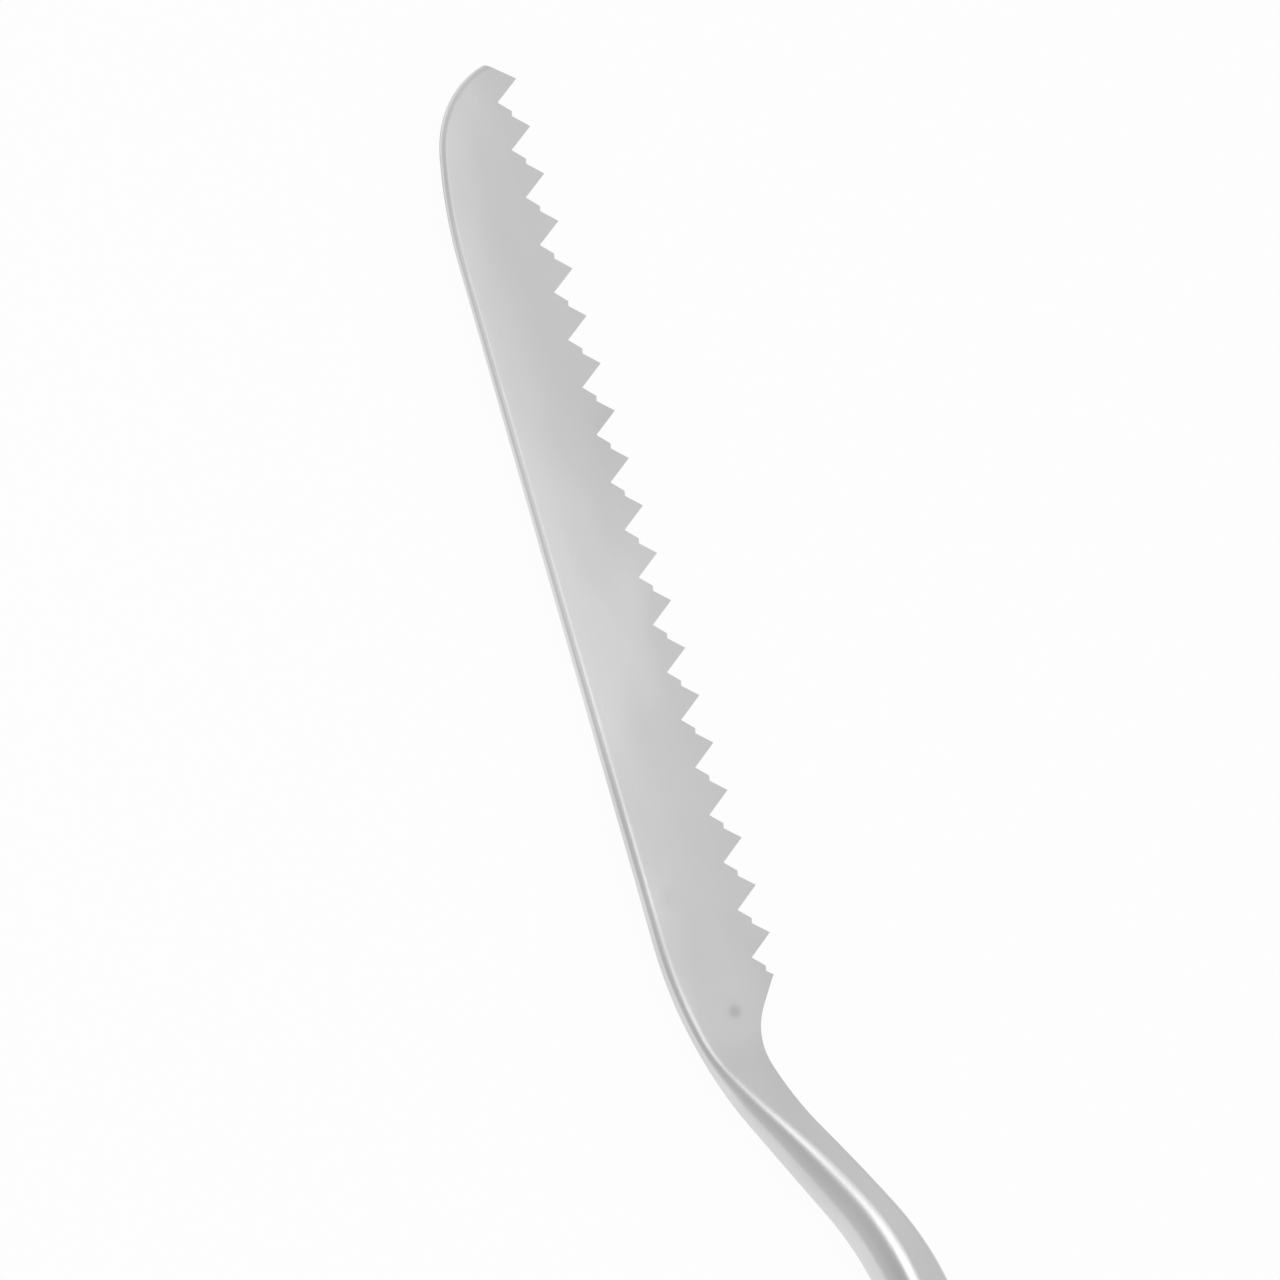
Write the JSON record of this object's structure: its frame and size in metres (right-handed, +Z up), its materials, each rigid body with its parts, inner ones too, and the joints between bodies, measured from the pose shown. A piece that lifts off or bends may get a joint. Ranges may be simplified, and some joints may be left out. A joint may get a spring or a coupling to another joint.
{
  "type": "nasal bone saw",
  "caption": "Surgical hand saw with a narrow toothed blade, a rounded back, a bayonet neck and a flat tapered handle, made in one piece.",
  "frame": {"origin": "under the middle of the saw's outline, on the surface that the handle lies on", "axes": "+X from the blade's nose to the end of the handle, +Y the way the teeth point, +Z up, square to the blade's faces"},
  "size_m": [0.1758, 0.0138, 0.003],
  "materials": {
    "satin_steel": "fine satin, matt on the blade's faces and brighter on the rounded back"
  },
  "bodies": {
    "root": {"nasal_saw": "satin_steel"}
  },
  "joints": []
}
